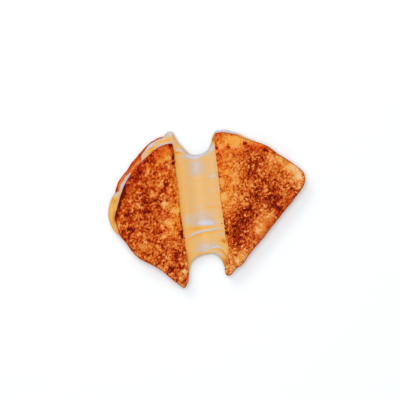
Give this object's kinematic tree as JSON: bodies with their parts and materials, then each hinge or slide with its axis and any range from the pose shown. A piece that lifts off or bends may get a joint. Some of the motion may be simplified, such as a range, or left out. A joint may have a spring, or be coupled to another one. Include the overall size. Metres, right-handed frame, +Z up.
{
  "type": "grilled cheese sandwich",
  "caption": "Toasted cheese sandwich cut corner to corner and pulled apart, with a sheet of melted cheese stretched between its two halves.",
  "frame": {"origin": "middle of the footprint, on the surface that the sandwich lies on", "axes": "+X from the left half to the right half, +Y towards the far end of the cut, +Z up"},
  "size_m": [0.1978, 0.1592, 0.0266],
  "materials": {
    "toast": "toasted, matte with a faint buttery sheen",
    "cheese": "melted, soft gloss"
  },
  "bodies": {
    "root": {"left_bottom_slice": "toast", "left_top_slice": "toast", "right_bottom_slice": "toast", "right_top_slice": "toast", "cheese": "cheese"}
  },
  "joints": []
}
